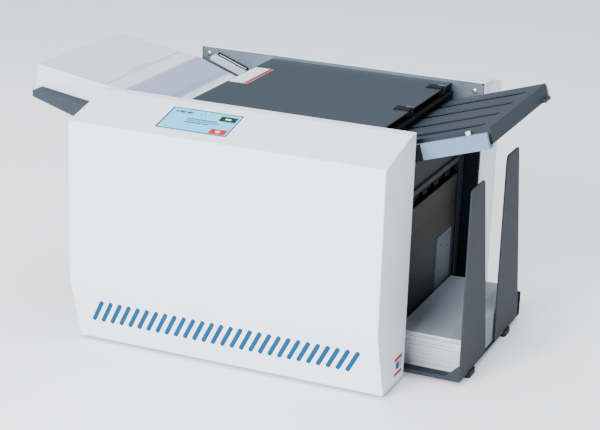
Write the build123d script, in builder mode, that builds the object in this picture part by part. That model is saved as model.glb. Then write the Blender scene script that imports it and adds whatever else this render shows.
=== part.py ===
"""Desktop folder and pressure sealer for letter-size one-piece mailers.

Frame: millimetres, +Z up, the operator stands at -Y, sheets travel towards +X.
Origin: middle of the footprint of the whole machine, on the surface it stands on.
"""
import math
import os

from build123d import *

os.makedirs("parts", exist_ok=True)

# ---- driving dimensions ----
body_left = -194.0             # left ends of the two side covers
body_right = 224.0             # right ends of the two side covers
cover_front = -222.0           # front face of the front cover
cover_back = 222.0             # back face of the rear cover
path_centre = 13.0             # middle of the sheet path across the machine
frame_gap = 268.0              # clear width between the two side frames
plate = 3.0                    # side frame thickness
skin = 1.2                     # cover sheet thickness
edge_round = 1.0               # folded ends of the covers
sheet = 1.5                    # tray, table and guide sheet thickness
foot_height = 5.0              # rubber feet
cover_top = 318.5              # flat strip along the top of both covers
form_width = 215.9             # letter-size form, across the machine
form_length = 279.4

frame_front = path_centre - frame_gap / 2      # inner face of the front side frame
frame_back = path_centre + frame_gap / 2       # inner face of the rear side frame
frame_left = body_left + 3
frame_right = body_right - 2
floor_top = foot_height + 2                    # top of the base plate
frame_top = cover_top - skin - 0.3

# ---- sheet path: infeed table, roller nips and fold plates ----
table_slope = 8.5              # degrees, falling towards the rollers
table_end = -308.0             # outer edge of the infeed table
table_lip = 298.0              # height of that edge
table_inner = -18.0            # inner edge of the infeed table
plate_slope = 17.5             # degrees, upper fold plate rising away from the body
plate_tip = Vector(307, 0, 331.7)
roller_r = 17.0                # fold rollers
seal_r = 14.0                  # sealing rollers
exit_r = 7.0                   # exit rollers
feed_r = 16.0                  # feed tyres
journal_r = 4.0                # every shaft end
nip_gap = 0.1                  # rollers stand this far apart with no paper between them

# ---- gears and belts, all outside the rear side frame ----
fold_teeth = 34
seal_teeth = 28
exit_teeth = 20
exit_module = 0.7
gear_start = frame_back + plate + 3            # inner face of the gear train
gear_width = 7.0
belt_start = gear_start + gear_width + 3       # inner face of the main belt
belt_width = 8.0
belt_thick = 1.5
fold_pulley_r = 13.6
seal_pulley_r = 11.2
motor_pulley_r = 9.0
exit_belt_start = belt_start + belt_width + 3
exit_belt_width = 5.0
exit_drive_r = 10.0
exit_pulley_r = 5.0
belt_play = 0.1                # between a belt and its pulleys


def table_z(x):
    """Height of the infeed table's top face at x."""
    return table_lip - (x - table_end) * math.tan(math.radians(table_slope))


def beside(point, angle, distance):
    """The point at a distance from another, in a direction given in degrees in the XZ plane."""
    turn = math.radians(angle)
    return (point[0] + distance * math.cos(turn), point[1] + distance * math.sin(turn))


def across(y):
    """Sketch plane facing -Y at the given y: sketch x is X and sketch y is Z."""
    return Plane.XZ.offset(-y)


def finish(builder, name):
    """Label a finished piece and write its STEP file."""
    builder.part.label = name
    export_step(builder.part, f"parts/{name}.step")


# roller centres as (x, z); each roller touches the one before it through the paper
exit_slope = -5.0
fold_pitch = 2 * roller_r + nip_gap
fold_2 = (100.0, 243.0)
fold_1 = beside(fold_2, 90, fold_pitch)
fold_3 = beside(fold_2, -25, fold_pitch)
fold_4 = beside(fold_3, exit_slope - 90, fold_pitch)
last_fold_nip = beside(fold_3, exit_slope - 90, fold_pitch / 2)
seal_nip = beside(last_fold_nip, exit_slope, 35.7)
seal_up = beside(seal_nip, exit_slope + 90, seal_r + nip_gap / 2)
seal_low = beside(seal_nip, exit_slope - 90, seal_r + nip_gap / 2)
exit_nip = beside(last_fold_nip, exit_slope, 57.8)
exit_up = beside(exit_nip, exit_slope + 90, exit_r + nip_gap / 2)
exit_low = beside(exit_nip, exit_slope - 90, exit_r + nip_gap / 2)
feed_axis = (-36.0, table_z(-36) - feed_r + 1.0)
motor_axis = (150.0, 80.0)
roller_axes = {
    "fold_1": fold_1, "fold_2": fold_2, "fold_3": fold_3, "fold_4": fold_4,
    "seal_up": seal_up, "seal_low": seal_low, "exit_up": exit_up, "exit_low": exit_low,
    "feed": feed_axis,
}

# ==== base, feet and side frames ====
with BuildPart() as base_plate:
    with BuildSketch(Plane.XY.offset(foot_height)):
        with Locations(((frame_left + frame_right) / 2, 14.5)):
            RectangleRounded(frame_right - frame_left, 411, 4)
    extrude(amount=floor_top - foot_height)
finish(base_plate, "base_plate")

foot_spots = [(x, y) for x in (-165, 195) for y in (-165, 190)]
with BuildPart() as body_feet:
    with BuildSketch():
        with Locations(*foot_spots):
            Circle(11)
    extrude(amount=foot_height)
    chamfer(body_feet.edges().group_by(Axis.Z)[0], 1)
finish(body_feet, "body_feet")

tie_spots = [(-165, 225), (-30, 35), (60, 70), (120, 150)]
separator_pivot = (-10.0, 282.0)


def side_frame(inner, name):
    """One steel side frame, from y = inner to inner + plate, with its shaft and tie rod holes."""
    with BuildPart() as frame:
        with BuildSketch(across(inner + plate)):
            with Locations(((frame_left + frame_right) / 2, (floor_top + frame_top) / 2)):
                RectangleRounded(frame_right - frame_left, frame_top - floor_top, 5)
            with Locations(*roller_axes.values()):
                Circle(6, mode=Mode.SUBTRACT)
            with Locations(motor_axis):
                Circle(14, mode=Mode.SUBTRACT)
            with Locations((-100, 150), (-20, 120)):
                SlotOverall(60, 36, mode=Mode.SUBTRACT)
        extrude(amount=plate)
    finish(frame, name)


side_frame(frame_front - plate, "front_side_frame")
side_frame(frame_back, "rear_side_frame")

with BuildPart() as tie_rods:
    with BuildSketch(across(frame_back)):
        with Locations(*tie_spots):
            Circle(5)
        with Locations(separator_pivot):
            Circle(4)
    extrude(amount=frame_gap)
finish(tie_rods, "tie_rods")

# flanged bushes, one in each side frame for every shaft
with BuildPart() as roller_bearings:
    for outer, inner in ((frame_front - plate - 1.5, frame_front), (frame_back + plate + 1.5, frame_back)):
        low, high = min(outer, inner), max(outer, inner)
        with BuildSketch(across(high)):
            with Locations(*roller_axes.values()):
                Circle(6)
                Circle(journal_r + 0.05, mode=Mode.SUBTRACT)
        extrude(amount=high - low)
        with BuildSketch(across(outer + 1.5 if outer < inner else outer)):
            with Locations(*roller_axes.values()):
                Circle(6.9)
                Circle(journal_r + 0.05, mode=Mode.SUBTRACT)
        extrude(amount=1.5)
finish(roller_bearings, "roller_bearings")

# ==== front cover: sloped top, slanted vents in the lower chamfer, screen cut-out ====
front_profile = [(-194, foot_height), (cover_front, 91.3), (cover_front, 298.3), (-135.8, cover_top),
                 (-121.6, cover_top), (-121.6, foot_height)]
slope_rise = (cover_top - 298.3) / (-135.8 - cover_front)
screen_mid = Vector(-36, -177.3, 298.3 + (-177.3 - cover_front) * slope_rise)
screen_plane = Plane(origin=screen_mid, x_dir=(1, 0, 0), z_dir=(0, -slope_rise, 1))
screen_size = (95.0, 54.0)
chamfer_run = Vector(0, cover_front + 194, 91.3 - foot_height)
vent_plane = Plane(origin=(14.1, -194, foot_height), x_dir=(1, 0, 0),
                   z_dir=(0, -chamfer_run.Z, chamfer_run.Y))
vent_pitch = 12.92
vent_count = 28
vent_mid = 46.0                # up the chamfer from its lower edge
vent_lean = 61.4               # degrees from the horizontal
vent_long, vent_wide = 39.2, 5.9

with BuildPart() as front_cover:
    with BuildSketch(Plane.YZ.offset(body_left)):
        with BuildLine():
            Polyline(*front_profile, close=True)
        make_face()
    extrude(amount=body_right - body_left)
    fillet(front_cover.edges().filter_by(Axis.X).group_by(Axis.Y)[0], 3)
    fillet(front_cover.edges().filter_by(Axis.X, reverse=True), edge_round)
    with BuildSketch(Plane.YZ.offset(body_left + skin)):
        with BuildLine():
            Polyline((-190.8, foot_height - 10), (cover_front, 91.3), (cover_front, 298.3),
                     (-135.8, cover_top), (-110, cover_top), (-110, foot_height - 10), close=True)
        make_face()
        offset(amount=-skin, kind=Kind.INTERSECTION)
    extrude(amount=body_right - body_left - 2 * skin, mode=Mode.SUBTRACT)
    with BuildSketch(screen_plane):
        Rectangle(*screen_size)
    extrude(amount=-12, both=True, mode=Mode.SUBTRACT)
    with BuildSketch(vent_plane):
        with Locations((0, vent_mid)):
            with GridLocations(vent_pitch, 1, vent_count, 1):
                SlotOverall(vent_long, vent_wide, rotation=vent_lean)
    extrude(amount=-8, both=True, mode=Mode.SUBTRACT)
finish(front_cover, "front_cover")

with BuildPart() as vent_backing:
    with BuildSketch(vent_plane.offset(-skin - 0.2)):
        with Locations((0, vent_mid)):
            Rectangle(vent_pitch * vent_count + 14, 50)
    extrude(amount=-1)
finish(vent_backing, "vent_backing")

with BuildPart() as screen_bezel:
    with BuildSketch(screen_plane.offset(-6)):
        Rectangle(screen_size[0] - 0.2, screen_size[1] - 0.2)
        Rectangle(screen_size[0] - 2.4, screen_size[1] - 2.4, mode=Mode.SUBTRACT)
    extrude(amount=6.5)
    with BuildSketch(screen_plane.offset(-7.5)):
        Rectangle(screen_size[0] - 0.2, screen_size[1] - 0.2)
    extrude(amount=1.5)
finish(screen_bezel, "screen_bezel")

with BuildPart() as touch_screen:
    with BuildSketch(screen_plane.offset(-6)):
        Rectangle(screen_size[0] - 2.4, screen_size[1] - 2.4)
    extrude(amount=5.8)
finish(touch_screen, "touch_screen")

with BuildPart() as control_board:
    with BuildSketch(across(-140)):
        with Locations((-40, 140)):
            Rectangle(150, 100)
    extrude(amount=1.6)
    with BuildSketch(across(-141.6)):
        with Locations((-70, 150), (-20, 160)):
            Rectangle(24, 24)
        with Locations((-40, 105), (10, 110)):
            Rectangle(34, 12)
    extrude(amount=6)
    with BuildSketch(across(frame_front - plate)):
        with Locations((-40, 140)):
            with GridLocations(138, 88, 2, 2):
                Circle(3)
    extrude(amount=16)
finish(control_board, "control_board")

# ==== rear cover: left end carries the mains inlet and switch, back face the air grilles ====
cover_inner = 147.6
rear_profile = [(cover_inner, foot_height), (cover_inner, cover_top), (171.3, cover_top),
                (cover_back, 305.4), (cover_back, foot_height)]
inlet_spot = (186.0, 50.0)     # y, z
switch_spot = (186.0, 92.0)
grille_spot = (-60.0, 120.0)   # x, z
with BuildPart() as rear_cover:
    with BuildSketch(Plane.YZ.offset(body_left)):
        with BuildLine():
            Polyline(*rear_profile, close=True)
        make_face()
    extrude(amount=body_right - body_left)
    fillet(rear_cover.edges().filter_by(Axis.X).group_by(Axis.Y)[-1], 3)
    fillet(rear_cover.edges().filter_by(Axis.X, reverse=True), edge_round)
    with BuildSketch(Plane.YZ.offset(body_left + skin)):
        with BuildLine():
            Polyline((cover_inner - 2, foot_height - 2), (cover_inner - 2, cover_top - skin),
                     (171.3 - 0.2, cover_top - skin), (cover_back - skin, 305.4 - 1),
                     (cover_back - skin, foot_height - 2), close=True)
        make_face()
    extrude(amount=body_right - body_left - 2 * skin, mode=Mode.SUBTRACT)
    with BuildSketch(Plane.YZ.offset(body_left - 1)):
        with Locations(inlet_spot):
            Rectangle(28, 22)
        with Locations(switch_spot):
            Rectangle(14, 21)
    extrude(amount=4, mode=Mode.SUBTRACT)
    with BuildSketch(across(cover_back + 1)):
        with Locations(grille_spot):
            with GridLocations(9, 9, 6, 6):
                Circle(3)
        with Locations((130, 60)):
            with GridLocations(10, 1, 9, 1):
                SlotOverall(40, 4, rotation=90)
    extrude(amount=4, mode=Mode.SUBTRACT)
finish(rear_cover, "rear_cover")

screw_spots = [(-182, 308), (210, 305.7), (-182, 30), (185, 20)]
with BuildPart() as cover_screws:
    for face, head in ((frame_back, frame_back), (frame_front + 1.6, frame_front + 1.6)):
        with BuildSketch(across(head)):
            with Locations(*screw_spots):
                Circle(3.6)
        extrude(amount=1.6)
finish(cover_screws, "cover_screws")

with BuildPart() as power_inlet:
    with BuildSketch(Plane.YZ.offset(body_left - 2.5)):
        with Locations(inlet_spot):
            RectangleRounded(46, 28, 3)
            RectangleRounded(25, 17, 2, mode=Mode.SUBTRACT)
    extrude(amount=2.5)
    with BuildSketch(Plane.YZ.offset(body_left)):
        with Locations(inlet_spot):
            Rectangle(27.8, 21.8)
            RectangleRounded(25, 17, 2, mode=Mode.SUBTRACT)
    extrude(amount=20)
    with BuildSketch(Plane.YZ.offset(body_left + 20)):
        with Locations(inlet_spot):
            Rectangle(27.8, 21.8)
    extrude(amount=3)
    with BuildSketch(Plane.YZ.offset(body_left + 5)):
        with Locations(inlet_spot):
            with Locations((-7, -2), (0, 3), (7, -2)):
                Rectangle(2, 5)
    extrude(amount=16)
finish(power_inlet, "power_inlet")

with BuildPart() as switch_body:
    with BuildSketch(Plane.YZ.offset(body_left - 2)):
        with Locations(switch_spot):
            RectangleRounded(17, 24, 1.5)
            Rectangle(12.4, 19.4, mode=Mode.SUBTRACT)
    extrude(amount=2)
    with BuildSketch(Plane.YZ.offset(body_left)):
        with Locations(switch_spot):
            Rectangle(13.8, 20.8)
            Rectangle(12.4, 19.4, mode=Mode.SUBTRACT)
    extrude(amount=9)
    with BuildSketch(Plane.YZ.offset(body_left + 9)):
        with Locations(switch_spot):
            Rectangle(13.8, 20.8)
    extrude(amount=8)
finish(switch_body, "switch_body")

rocker_axis = (body_left + 4.0, switch_spot[1])
rocker_tilt = 8.0              # upper half pressed in
with BuildPart() as rocker:
    with BuildSketch(across(switch_spot[0] + 6)):
        with Locations(Location((*rocker_axis, 0), (0, 0, -rocker_tilt))):
            Polygon((2.5, -3), (-3, -8.8), (-5.2, -8.8), (-3.8, 0), (-5.2, 8.8), (-3, 8.8), (2.5, 3),
                    align=None)
        with Locations(rocker_axis):
            Circle(3.4)
    extrude(amount=12)
finish(rocker, "rocker")

with BuildPart() as power_supply:
    with BuildSketch(Plane.XY.offset(floor_top + 3)):
        with Locations((-115, -20)):
            RectangleRounded(120, 140, 2)
    extrude(amount=42)
    with BuildSketch(Plane.XY.offset(floor_top)):
        with Locations((-115, -20)):
            with GridLocations(104, 124, 2, 2):
                Circle(4)
    extrude(amount=3)
finish(power_supply, "power_supply")

# ==== infeed table, guides and closing panel ====
table_y = (frame_front + 3, frame_back - 3)
tyre_spots = (path_centre - 50, path_centre, path_centre + 50)
with BuildPart() as infeed_table:
    with BuildSketch(across(table_y[1])):
        with BuildLine():
            Polyline((table_end, table_lip), (table_inner, table_z(table_inner)),
                     (table_inner, table_z(table_inner) - sheet), (table_end, table_lip - sheet), close=True)
        make_face()
    extrude(amount=table_y[1] - table_y[0])
    for wall in (table_y[1], table_y[0] + sheet):
        with BuildSketch(across(wall)):
            with BuildLine():
                Polyline((table_end, table_lip - 0.5), (-60, table_z(-60) - 0.5), (-60, table_z(-60) - 26),
                         (-194, table_z(-194) - 26), (table_end, table_lip - 8), close=True)
            make_face()
        extrude(amount=sheet)
    with BuildSketch(Plane.XY.offset(200)):
        with Locations(*[(feed_axis[0], y) for y in tyre_spots]):
            Rectangle(34, 26)
    extrude(amount=100, mode=Mode.SUBTRACT)
finish(infeed_table, "infeed_table")

with BuildPart() as infeed_panel:
    with BuildSketch(Plane.YZ.offset(body_left + 0.6)):
        with Locations((path_centre, (floor_top + 250) / 2)):
            Rectangle(frame_gap, 250 - floor_top)
    extrude(amount=2.4)
finish(infeed_panel, "infeed_panel")

with BuildPart() as guide_rails:
    for wall, depth in ((frame_back, 8), (frame_front + 8, 8)):
        with BuildSketch(across(wall)):
            with BuildLine():
                Polyline((-175, 306.6), (-124, 287.8), (-126, 282.6), (-177, 301.4), close=True)
            make_face()
        extrude(amount=depth)
finish(guide_rails, "guide_rails")


def fan_top(x):
    """Height of the stacked forms where their leading edges are fanned out."""
    return 306.8 - (x + 184) * (306.8 - 260.5) / 136


def side_guide(inner, outward, name):
    """A low fence beside the forms; its foot points away from them and lies on the table."""
    wall = inner + outward * sheet
    foot = inner + outward * 8
    with BuildPart() as guide:
        with BuildSketch(across(max(inner, wall))):
            with BuildLine():
                Polyline((-186, table_z(-186) + 0.3), (-186, table_z(-186) + 20), (-80, fan_top(-80) - 2),
                         (-80, table_z(-80) + 0.3), close=True)
            make_face()
        extrude(amount=sheet)
        with BuildSketch(across(max(inner, foot))):
            with BuildLine():
                Polyline((-186, table_z(-186) + 0.3), (-186, table_z(-186) + 0.3 + sheet),
                         (-80, table_z(-80) + 0.3 + sheet), (-80, table_z(-80) + 0.3), close=True)
            make_face()
        extrude(amount=8)
    finish(guide, name)


forms_front = path_centre - form_width / 2
forms_back = path_centre + form_width / 2
side_guide(forms_front - 1, -1, "side_guide_front")
side_guide(forms_back + 1, 1, "side_guide_rear")

with BuildPart() as transfer_guide:
    with BuildSketch(across(path_centre + 120)):
        with BuildLine():
            Polyline((-16, 253.6), (78, 258.3), (78, 256.8), (-16, 252.1), close=True)
        make_face()
    extrude(amount=240)
finish(transfer_guide, "transfer_guide")

# ==== feed roller and separator ====
with BuildPart() as feed_shaft:
    with BuildSketch(across(frame_back + 14)):
        with Locations(feed_axis):
            Circle(journal_r)
    extrude(amount=frame_gap + 22)
finish(feed_shaft, "feed_shaft")

with BuildPart() as feed_tyres:
    for middle in tyre_spots:
        with BuildSketch(across(middle + 11)):
            with Locations(feed_axis):
                Circle(feed_r)
                Circle(journal_r, mode=Mode.SUBTRACT)
        extrude(amount=22)
finish(feed_tyres, "feed_tyres")

lean = math.radians(table_slope)
pad_touch = (feed_axis[0] + feed_r * math.sin(lean), feed_axis[1] + feed_r * math.cos(lean))
pad_plane = Plane(origin=(pad_touch[0], path_centre, pad_touch[1] + 0.3),
                  x_dir=(math.cos(lean), 0, -math.sin(lean)), z_dir=(math.sin(lean), 0, math.cos(lean)))
with BuildPart() as separator_pad:
    with BuildSketch(pad_plane):
        Rectangle(16, 24)
    extrude(amount=2.5)
finish(separator_pad, "separator_pad")

with BuildPart() as separator_arm:
    with BuildSketch(across(path_centre + 14)):
        with BuildLine():
            Polyline((-42.6, 262.1), (-24.6, 259.5), (-3, 278), (-14, 289), (-42, 268), close=True)
        make_face()
        with Locations(separator_pivot):
            Circle(8)
            Circle(4.05, mode=Mode.SUBTRACT)
    extrude(amount=28)
    with BuildSketch(pad_plane.offset(2.5 - 8)):
        Rectangle(60, 60)
    extrude(amount=8, mode=Mode.SUBTRACT)
finish(separator_arm, "separator_arm")


# ==== rollers, gears and pulleys ====
def tooth_phase(first, second, phase, teeth, next_teeth):
    """Phase in degrees of a gear in mesh with another, from the direction between their centres."""
    towards = math.degrees(math.atan2(second[1] - first[1], second[0] - first[0]))
    return towards + 180 + 180 / next_teeth - (phase - towards) * teeth / next_teeth


def add_gear(centre, teeth, module, phase, pulleys=()):
    """Add a gear to the open part, with its belt pulleys as (start, width, radius); return its end."""
    pitch = 2 * math.pi / teeth
    root = module * (teeth / 2 - 1.2)
    tip = module * (teeth / 2 + 0.85)
    root_half = root * pitch * 0.27
    tip_half = tip * pitch * 0.11
    with BuildSketch(across(gear_start + gear_width)) as toothed:
        with Locations(centre):
            Circle(root)
            with PolarLocations(0, teeth, start_angle=phase):
                Polygon((root - 0.5, -root_half), (tip, -tip_half), (tip, tip_half),
                        (root - 0.5, root_half), align=None)
    extrude(toothed.sketch, amount=gear_width)
    end = gear_start + gear_width
    for start, width, radius in pulleys:
        with BuildSketch(across(start)) as flange:
            with Locations(centre):
                Circle(radius + 1)
        extrude(flange.sketch, amount=start - end)
        end = start + width
        with BuildSketch(across(end)) as groove:
            with Locations(centre):
                Circle(radius - belt_play)
        extrude(groove.sketch, amount=width)
    return end


def add_shaft(centre, radius, shaft_end, bands=((path_centre, 250),)):
    """Add a shaft with one or more wider bands to the open part, from the front bushes to shaft_end."""
    with BuildSketch(across(shaft_end)) as journal:
        with Locations(centre):
            Circle(journal_r)
    extrude(journal.sketch, amount=shaft_end - frame_front + 7)
    for middle, width in bands:
        with BuildSketch(across(middle + width / 2)) as band:
            with Locations(centre):
                Circle(radius)
        extrude(band.sketch, amount=width)


def geared_roller(name, centre, radius, teeth, module, phase, pulleys=(), bands=((path_centre, 250),)):
    """A roller whose shaft carries its own moulded gear and pulleys."""
    with BuildPart() as geared:
        end = add_gear(centre, teeth, module, phase, pulleys)
        add_shaft(centre, radius, end, bands)
    finish(geared, name)


phase_2 = 0.0
phase_1 = tooth_phase(fold_2, fold_1, phase_2, fold_teeth, fold_teeth)
phase_3 = tooth_phase(fold_2, fold_3, phase_2, fold_teeth, fold_teeth)
phase_4 = tooth_phase(fold_3, fold_4, phase_3, fold_teeth, fold_teeth)
main_pulley = (belt_start, belt_width, fold_pulley_r)
seal_pulleys = ((belt_start, belt_width, seal_pulley_r), (exit_belt_start, exit_belt_width, exit_drive_r))
fold_set = [("1", fold_1, phase_1, ()), ("2", fold_2, phase_2, ()), ("3", fold_3, phase_3, ()),
            ("4", fold_4, phase_4, (main_pulley,))]
for number, centre, phase, pulleys in fold_set:
    with BuildPart() as fold_gear:
        gear_end = add_gear(centre, fold_teeth, 1.0, phase, pulleys)
        with BuildSketch(across(gear_end)):
            with Locations(centre):
                Circle(journal_r)
        extrude(amount=gear_end - gear_start, mode=Mode.SUBTRACT)
    finish(fold_gear, "fold_gear_" + number)
    with BuildPart() as fold_roller:
        add_shaft(centre, roller_r, gear_end)
    finish(fold_roller, "fold_roller_" + number)

seal_phase = tooth_phase(seal_low, seal_up, 0, seal_teeth, seal_teeth)
geared_roller("seal_roller_lower", seal_low, seal_r, seal_teeth, 1.0, 0, seal_pulleys)
geared_roller("seal_roller_upper", seal_up, seal_r, seal_teeth, 1.0, seal_phase)

exit_bands = [(path_centre + offset, 18) for offset in (-90, -45, 0, 45, 90)]
exit_phase = tooth_phase(exit_low, exit_up, 0, exit_teeth, exit_teeth)
exit_pulley = ((exit_belt_start, exit_belt_width, exit_pulley_r),)
geared_roller("exit_roller_lower", exit_low, exit_r, exit_teeth, exit_module, 0, exit_pulley, exit_bands)
geared_roller("exit_roller_upper", exit_up, exit_r, exit_teeth, exit_module, exit_phase, (), exit_bands)

# ==== drive motor and belts ====
with BuildPart() as drive_motor:
    with BuildSketch(across(frame_back)):
        with Locations(motor_axis):
            Circle(25)
    extrude(amount=64)
    with BuildSketch(across(frame_back + 2)):
        with Locations(motor_axis):
            Circle(13.9)
            Circle(4.05, mode=Mode.SUBTRACT)
    extrude(amount=2)
finish(drive_motor, "drive_motor")

with BuildPart() as motor_pulley:
    with BuildSketch(across(belt_start + belt_width)):
        with Locations(motor_axis):
            Circle(motor_pulley_r - belt_play)
    extrude(amount=belt_width)
    with BuildSketch(across(belt_start)):
        with Locations(motor_axis):
            Circle(4)
    extrude(amount=belt_start - frame_back - 0.2)
finish(motor_pulley, "motor_pulley")


def belt(pulleys, start, width):
    """A flat toothless band round pulleys given as (centre, radius)."""
    with BuildSketch(across(start + width)) as band:
        for thickness, mode in ((belt_thick, Mode.ADD), (0, Mode.SUBTRACT)):
            with BuildSketch(mode=mode):
                for centre, radius in pulleys:
                    with Locations(centre):
                        Circle(radius + thickness)
                make_hull()
    return band


main_loop = belt([(fold_4, fold_pulley_r), (seal_low, seal_pulley_r), (motor_axis, motor_pulley_r)],
                 belt_start, belt_width)
exit_loop = belt([(seal_low, exit_drive_r), (exit_low, exit_pulley_r)], exit_belt_start, exit_belt_width)
with BuildPart() as drive_belts:
    extrude(main_loop.sketch, amount=belt_width)
    extrude(exit_loop.sketch, amount=exit_belt_width)
finish(drive_belts, "drive_belts")

# ==== top cover with its two hinges ====
lid_left, lid_right = -84.0, 177.0
lid_top = 313.5
lid_y = (frame_front + 1.5, frame_back - 1.5)
hinge_axis = (173.0, lid_top - 5.5)
tab_spots = (-13.0, 110.0)
tab_width = 15.0
with BuildPart() as top_cover:
    with BuildSketch(Plane.XY.offset(lid_top - sheet)):
        with Locations(((lid_left + lid_right) / 2, path_centre)):
            Rectangle(lid_right - lid_left, lid_y[1] - lid_y[0])
        with Locations(*[(lid_right - 10.5, y) for y in tab_spots]):
            Rectangle(21, tab_width, mode=Mode.SUBTRACT)
    extrude(amount=sheet)
    with BuildSketch(Plane.YZ.offset(lid_left)):
        with Locations((path_centre, lid_top - 8)):
            Rectangle(lid_y[1] - lid_y[0], 16)
    extrude(amount=sheet)
    with BuildSketch(Plane.XZ.offset(-lid_y[1])):
        with Locations(((lid_left + 158) / 2, lid_top - 6)):
            Rectangle(158 - lid_left, 12)
    extrude(amount=sheet)
    with BuildSketch(Plane.XZ.offset(-lid_y[0] - sheet)):
        with Locations(((lid_left + 158) / 2, lid_top - 6)):
            Rectangle(158 - lid_left, 12)
    extrude(amount=sheet)
finish(top_cover, "top_cover")

with BuildPart() as hinge_tabs:
    for middle in tab_spots:
        with BuildSketch(across(middle + tab_width / 2)):
            with Locations((lid_right - 10.5, lid_top - 3.5)):
                RectangleRounded(21, 11, 1.5)
            with Locations(hinge_axis):
                Circle(2.05, mode=Mode.SUBTRACT)
        extrude(amount=tab_width)
finish(hinge_tabs, "hinge_tabs")

with BuildPart() as hinge_bracket:
    with BuildSketch(across(frame_back)):
        with Locations((170, lid_top - 13)):
            Rectangle(20, 3)
    extrude(amount=frame_gap)
    for middle in tab_spots:
        for lug in (middle - tab_width / 2 - 0.5, middle + tab_width / 2 + 4.5):
            with BuildSketch(across(lug)):
                with Locations(hinge_axis):
                    Circle(3.5)
                with Locations((hinge_axis[0], hinge_axis[1] - 3.3)):
                    Rectangle(7, 6.6)
            extrude(amount=4)
        with BuildSketch(across(middle + tab_width / 2 + 4.5)):
            with Locations(hinge_axis):
                Circle(2)
        extrude(amount=tab_width + 9)
finish(hinge_bracket, "hinge_bracket")

# ==== upper fold plate: a slotted box that slides out up its slope ====
rise = math.radians(plate_slope)
plate_frame = Plane(origin=plate_tip, x_dir=(math.cos(rise), 0, math.sin(rise)),
                    z_dir=(-math.sin(rise), 0, math.cos(rise)))
plate_length = 183.0
plate_depth = 20.0
plate_y = (-102.0, 138.0)
slot_spots = (-75.0, -18.0, 39.0, 96.0)
plate_slot_long, plate_slot_wide = 152.0, 15.0
with BuildPart() as upper_fold_plate:
    with BuildSketch(plate_frame):
        with Locations((-plate_length / 2, path_centre + 5)):
            Rectangle(plate_length, plate_y[1] - plate_y[0])
    extrude(amount=-plate_depth)
    with BuildSketch(plate_frame.offset(-sheet)):
        with Locations((-plate_length / 2 - 4, path_centre + 5)):
            Rectangle(plate_length, plate_y[1] - plate_y[0] - 2 * sheet)
    extrude(amount=-plate_depth + 2 * sheet, mode=Mode.SUBTRACT)
    with BuildSketch(plate_frame):
        with Locations(*[(-90, y) for y in slot_spots]):
            SlotOverall(plate_slot_long, plate_slot_wide)
    extrude(amount=-sheet, mode=Mode.SUBTRACT)
    with BuildSketch(plate_frame.offset(-6)):
        with Locations((-75, plate_y[0])):
            Rectangle(118, 6)
    extrude(amount=-7, mode=Mode.SUBTRACT)
    with BuildSketch(plate_frame.offset(-plate_depth)):
        with Locations((0.6, 110), (0.6, 128)):
            Rectangle(9.2, 5)
    extrude(amount=4)
finish(upper_fold_plate, "upper_fold_plate")

with BuildPart() as fold_plate_rails:
    with BuildSketch(plate_frame.offset(-plate_depth - 3)):
        with Locations((-plate_length / 2, -109.5)):
            Rectangle(plate_length, 15)
    extrude(amount=3)
    with BuildSketch(plate_frame.offset(-plate_depth - 3)):
        with Locations((-plate_length / 2, -114.5)):
            Rectangle(plate_length, 5)
    extrude(amount=20)
    with BuildSketch(plate_frame.offset(-plate_depth - 3)):
        with Locations((-plate_length / 2, 140.5)):
            Rectangle(plate_length, 5)
    extrude(amount=20)
    with BuildSketch(plate_frame.offset(-plate_depth - 3)):
        with Locations((-plate_length / 2, 134)):
            Rectangle(plate_length, 8)
    extrude(amount=3)
finish(fold_plate_rails, "fold_plate_rails")

stop_at = -26.0                # along the plate from its tip
with BuildPart() as fold_stop:
    with BuildSketch(plate_frame.offset(-plate_depth + sheet + 0.5)):
        with Locations((stop_at, path_centre + 5)):
            Rectangle(8, 234)
    extrude(amount=plate_depth - 2 * sheet - 1)
    with BuildSketch(plate_frame.offset(-12.5)):
        with Locations((stop_at, -104.5)):
            Rectangle(8, 11)
    extrude(amount=6)
finish(fold_stop, "fold_stop")

with BuildPart() as stop_knob:
    with BuildSketch(plate_frame.offset(-6.4)):
        with Locations((stop_at, -106.5)):
            Circle(3.2)
    extrude(amount=7)
    chamfer(stop_knob.edges().group_by(Axis(plate_tip, plate_frame.z_dir))[-1], 0.6)
finish(stop_knob, "stop_knob")

with BuildPart() as plate_slides:
    for low, high in ((frame_front, -117.4), (143.4, frame_back)):
        with BuildSketch(plate_frame.offset(-plate_depth - 3)):
            with Locations((-112, (low + high) / 2)):
                Rectangle(54, high - low)
        extrude(amount=20)
finish(plate_slides, "plate_slides")

# lower fold plate, falling away below the second nip
lower_angle = -115.0
lower_start = beside(fold_2, -25, fold_pitch / 2)
lower_middle = beside(lower_start, lower_angle, 70)
with BuildPart() as lower_fold_plate:
    with BuildSketch(across(path_centre + 125)):
        with Locations(Location((lower_middle[0], lower_middle[1], 0), (0, 0, lower_angle))):
            Rectangle(100, 8)
        with Locations(Location((*beside(lower_middle, lower_angle, -2), 0), (0, 0, lower_angle))):
            Rectangle(100, 5, mode=Mode.SUBTRACT)
    extrude(amount=250)
finish(lower_fold_plate, "lower_fold_plate")

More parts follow.
